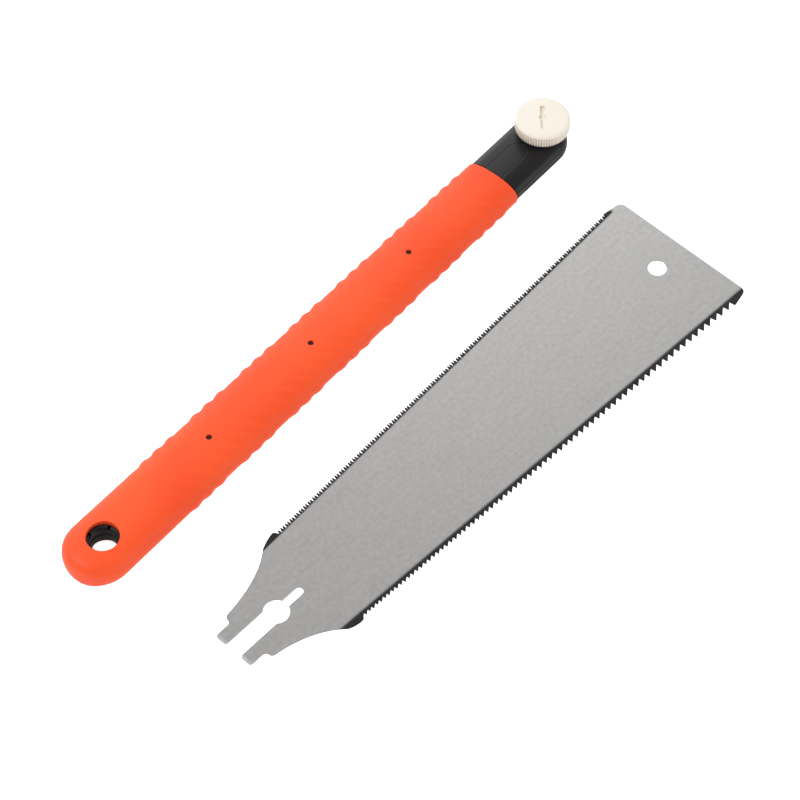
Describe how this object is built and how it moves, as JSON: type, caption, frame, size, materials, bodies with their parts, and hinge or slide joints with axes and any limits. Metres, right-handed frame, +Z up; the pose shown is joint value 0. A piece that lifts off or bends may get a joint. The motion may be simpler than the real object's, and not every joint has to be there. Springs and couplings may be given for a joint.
{
  "type": "take-apart pull saw",
  "caption": "Take-apart pull saw: rubber-gripped straight handle with a screw-clamped slot for a forked tang, and a loose blade toothed on both edges lying beside it.",
  "frame": {"origin": "centre of the whole lay-out's box, at the level of the surface it lies on", "axes": "+X along the handle from its butt to its head, +Y from the blade towards the handle, +Z up"},
  "size_m": [0.3511, 0.1519, 0.0231],
  "materials": {
    "orange_rubber": "fine matte",
    "black_nylon": "satin",
    "ivory_nylon": "satin",
    "fitting_steel": "bright zinc",
    "saw_steel": "satin, rolled"
  },
  "bodies": {
    "handle": {"grip_sleeve": "orange_rubber", "hang_eye": "black_nylon", "core_upper": "black_nylon", "core_lower": "black_nylon", "spine_plate": "fitting_steel", "core_pin_rear": "fitting_steel", "core_pin_middle": "fitting_steel", "core_pin_front": "fitting_steel", "head_screw_near": "fitting_steel", "head_screw_far": "fitting_steel", "stop_pin_near": "fitting_steel", "stop_pin_far": "fitting_steel", "jaw_liner": "fitting_steel", "liner_rivet_near": "fitting_steel", "liner_rivet_far": "fitting_steel", "clamp_nut": "fitting_steel"},
    "washers": {"thrust_washer": "fitting_steel", "wave_washer": "fitting_steel"},
    "knob": {"clamp_knob": "ivory_nylon", "clamp_screw": "fitting_steel"},
    "saw_blade": {"blade": "saw_steel"}
  },
  "joints": [
    {"name": "screw_travel", "type": "slide", "parent": "handle", "child": "washers", "axis": [0, 0, 1], "range_m": [-0.0015, 0]},
    {"name": "knob_turn", "type": "hinge", "parent": "washers", "child": "knob", "pos_m": [0.1617, 0.0582, 0.0195], "axis": [0, 0, 1], "range_deg": [-433, 0]},
    {"name": "blade_draw", "type": "slide", "parent": "handle", "child": "saw_blade", "axis": [0.9989, -0.0462, 0], "range_m": [0, 0.042]}
  ],
  "couplings": [
    {"joint": "knob_turn", "follows": "screw_travel", "rad_per_m": 5026.5}
  ]
}
